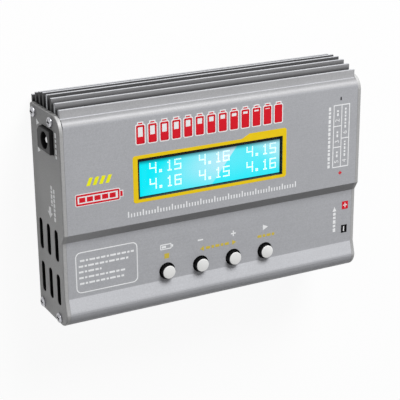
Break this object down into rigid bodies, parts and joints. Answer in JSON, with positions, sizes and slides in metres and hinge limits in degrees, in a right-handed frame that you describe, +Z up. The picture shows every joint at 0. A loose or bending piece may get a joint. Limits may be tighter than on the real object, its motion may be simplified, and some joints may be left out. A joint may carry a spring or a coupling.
{
  "type": "lithium battery balance charger",
  "caption": "Flat bench charger in a finned aluminium extrusion with end plates, a two-line lit display, push keys, a barrel power inlet, banana outputs and shrouded balance sockets.",
  "frame": {"origin": "on the table under the middle of the case", "axes": "+X along the length to the output end, +Y from the lip to the fins, +Z up out of the display face"},
  "size_m": [0.136, 0.09, 0.033],
  "materials": {
    "anodised_shell": "bead-blasted clear anodised",
    "base_metal": "mill finish anodised",
    "end_plate_paint": "fine texture powder coat",
    "screw_steel": "bright zinc plated",
    "foot_rubber": "matt rubber",
    "clear_window": "clear acrylic",
    "bezel_black": "satin black",
    "lcd_blue": "lit liquid crystal",
    "light_guide": "white diffuser",
    "board_green": "solder resist",
    "spacer_brass": "plain brass",
    "black_plastic": "moulded black",
    "contact_gold": "gold flashed",
    "key_white": "satin moulded white",
    "plunger_grey": "moulded grey",
    "spring_steel": "rolled strip",
    "contact_tin": "tinned",
    "socket_red": "moulded red",
    "socket_white": "natural nylon",
    "pad_grey": "silicone sheet",
    "capacitor_sleeve": "shrunk sleeve",
    "ferrite": "moulded ferrite",
    "fuse_orange": "moulded orange"
  },
  "bodies": {
    "case": {"heat_sink_shell": "anodised_shell", "base_cover": "base_metal", "left_end_plate": "end_plate_paint", "right_end_plate": "end_plate_paint", "left_plate_screws": "screw_steel", "right_plate_screws": "screw_steel", "lcd_screws": "screw_steel", "board_screws": "screw_steel", "clamp_screws": "screw_steel", "rubber_feet": "foot_rubber", "display_lens": "clear_window", "lcd_bezel": "bezel_black", "lcd_glass": "lcd_blue", "lcd_backlight": "light_guide", "lcd_board": "board_green", "main_board": "board_green", "socket_board": "board_green", "lcd_spacers": "spacer_brass", "board_standoffs": "spacer_brass", "lcd_header": "black_plastic", "key_switches": "black_plastic", "dc_jack_body": "black_plastic", "negative_socket": "black_plastic", "controller_chip": "black_plastic", "driver_chips": "black_plastic", "buzzer": "black_plastic", "power_transistors": "black_plastic", "lcd_header_pins": "contact_gold", "positive_sleeve": "contact_gold", "negative_sleeve": "contact_gold", "key_domes": "spring_steel", "transistor_clamp": "spring_steel", "dc_jack_pin": "contact_tin", "balance_pins": "contact_tin", "output_nuts": "contact_tin", "positive_socket": "socket_red", "balance_socket_2": "socket_white", "balance_socket_3": "socket_white", "balance_socket_4": "socket_white", "balance_socket_5": "socket_white", "balance_socket_6": "socket_white", "insulating_pad": "pad_grey", "bulk_capacitors": "capacitor_sleeve", "power_inductors": "ferrite", "fuse": "fuse_orange"},
    "key_1": {"key_cap_1": "key_white", "key_plunger_1": "plunger_grey"},
    "key_2": {"key_cap_2": "key_white", "key_plunger_2": "plunger_grey"},
    "key_3": {"key_cap_3": "key_white", "key_plunger_3": "plunger_grey"},
    "key_4": {"key_cap_4": "key_white", "key_plunger_4": "plunger_grey"}
  },
  "joints": [
    {"name": "key_1_press", "type": "slide", "parent": "case", "child": "key_1", "axis": [0, 0, -1], "range_m": [0, 0.0005], "stiffness_N_per_m": 1500},
    {"name": "key_2_press", "type": "slide", "parent": "case", "child": "key_2", "axis": [0, 0, -1], "range_m": [0, 0.0005], "stiffness_N_per_m": 1500},
    {"name": "key_3_press", "type": "slide", "parent": "case", "child": "key_3", "axis": [0, 0, -1], "range_m": [0, 0.0005], "stiffness_N_per_m": 1500},
    {"name": "key_4_press", "type": "slide", "parent": "case", "child": "key_4", "axis": [0, 0, -1], "range_m": [0, 0.0005], "stiffness_N_per_m": 1500}
  ]
}
